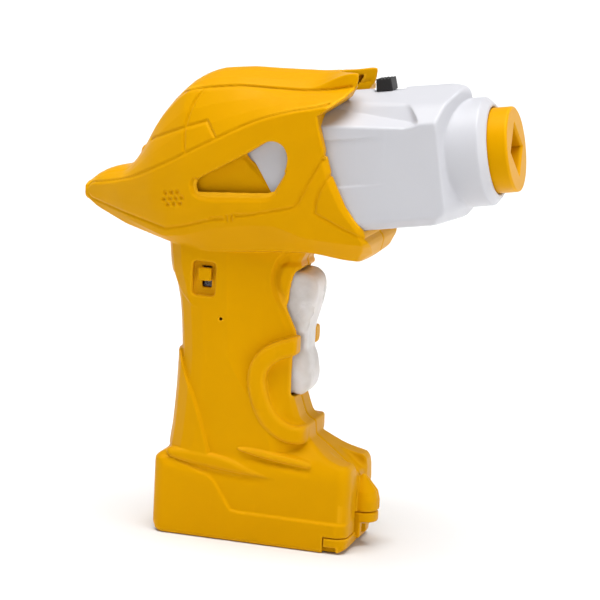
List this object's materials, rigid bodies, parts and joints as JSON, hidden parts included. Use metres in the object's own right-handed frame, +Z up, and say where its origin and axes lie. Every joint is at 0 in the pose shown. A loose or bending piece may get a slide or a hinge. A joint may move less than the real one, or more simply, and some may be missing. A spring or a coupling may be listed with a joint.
{
  "type": "toy power drill",
  "caption": "Toy drill in a swept two-half shell with a boxy pale nose, a square-socket chuck, a rocker trigger, two slide switches, a geared motor and a screwed battery door in the foot.",
  "frame": {"origin": "centre of the flat underside of the foot", "axes": "+X towards the nose, +Y to the left side, +Z up from the foot"},
  "size_m": [0.1506, 0.0474, 0.161],
  "materials": {
    "yellow_plastic": "moulded, satin gloss",
    "white_plastic": "moulded, satin gloss",
    "clear_white_plastic": "slightly see-through, smooth",
    "black_plastic": "moulded, matt",
    "bright_steel": "plated",
    "natural_nylon": "moulded",
    "bronze": "sintered",
    "silicone": "matt",
    "board_green": "solder mask",
    "cell_wrap": "printed film, plain",
    "lead_red": "insulation",
    "lead_black": "insulation"
  },
  "bodies": {
    "root": {"housing_right": "yellow_plastic", "housing_left": "yellow_plastic", "nose_right": "white_plastic", "nose_left": "white_plastic", "housing_screws": "bright_steel", "nose_screws": "bright_steel", "spindle_bushing": "bronze", "gearbox_front": "natural_nylon", "gearbox_rear": "natural_nylon", "gearbox_screws": "bright_steel", "gear_pin": "bright_steel", "motor_can": "bright_steel", "motor_end_cap": "black_plastic", "motor_terminals": "bronze", "mode_switch_body": "bright_steel", "power_switch_body": "bright_steel", "rocker_pin": "bright_steel", "keypad": "silicone", "circuit_board": "board_green", "board_screws": "bright_steel", "board_parts": "black_plastic", "cell_right": "bright_steel", "cell_left": "bright_steel", "cell_sleeves": "cell_wrap", "contact_rear": "bright_steel", "contacts_front": "bright_steel", "contact_spring_right": "bright_steel", "contact_spring_left": "bright_steel", "lead_positive": "lead_red", "lead_negative": "lead_black", "lead_motor": "lead_red"},
    "drive": {"chuck": "yellow_plastic", "spindle": "bright_steel", "output_gear": "natural_nylon"},
    "idler": {"idler_gear": "natural_nylon"},
    "second": {"second_gear": "natural_nylon"},
    "first": {"first_gear": "natural_nylon"},
    "motor_rotor": {"motor_pinion": "bronze", "motor_shaft": "bright_steel"},
    "mode_slider": {"mode_knob": "black_plastic"},
    "power_slider": {"power_knob": "yellow_plastic"},
    "rocker": {"rocker": "clear_white_plastic"},
    "door": {"battery_door": "yellow_plastic"},
    "door_screw": {"door_screw": "bright_steel"}
  },
  "joints": [
    {"name": "chuck_spin", "type": "hinge", "parent": "root", "child": "drive", "pos_m": [0.06127, 0, 0.1363], "axis": [0.9863, 0, 0.165], "continuous": true},
    {"name": "idler_spin", "type": "hinge", "parent": "root", "child": "idler", "pos_m": [0.04609, 0, 0.12401], "axis": [0.9863, 0, 0.165], "continuous": true},
    {"name": "second_spin", "type": "hinge", "parent": "root", "child": "second", "pos_m": [0.04155, 0, 0.133], "axis": [0.9863, 0, 0.165], "continuous": true},
    {"name": "first_spin", "type": "hinge", "parent": "root", "child": "first", "pos_m": [0.03919, 0, 0.12285], "axis": [0.9863, 0, 0.165], "continuous": true},
    {"name": "motor_spin", "type": "hinge", "parent": "root", "child": "motor_rotor", "pos_m": [0.02182, 0, 0.1297], "axis": [0.9863, 0, 0.165], "continuous": true},
    {"name": "mode_slide", "type": "slide", "parent": "root", "child": "mode_slider", "axis": [0.9863, 0, 0.165], "range_m": [0, 0.0035]},
    {"name": "power_slide", "type": "slide", "parent": "root", "child": "power_slider", "axis": [0, 0, -1], "range_m": [0, 0.0032]},
    {"name": "rocker_press", "type": "hinge", "parent": "root", "child": "rocker", "pos_m": [0.0035, 0, 0.0685], "axis": [0, -1, 0], "range_deg": [-2.5, 2.5], "stiffness_Nm_per_rad": 0.6, "deforming": ["keypad"]},
    {"name": "door_open", "type": "hinge", "parent": "root", "child": "door", "pos_m": [-0.0312, 0, 0.0024], "axis": [0, 1, 0], "range_deg": [0, 60]},
    {"name": "door_screw_turn", "type": "hinge", "parent": "door", "child": "door_screw", "pos_m": [0.0362, 0, 0.012], "axis": [0, 0, 1], "continuous": true}
  ],
  "couplings": [
    {"joint": "idler_spin", "follows": "chuck_spin", "ratio": -2.8},
    {"joint": "second_spin", "follows": "chuck_spin", "ratio": 7.84},
    {"joint": "first_spin", "follows": "chuck_spin", "ratio": -21.952},
    {"joint": "motor_spin", "follows": "chuck_spin", "ratio": 61.466}
  ]
}
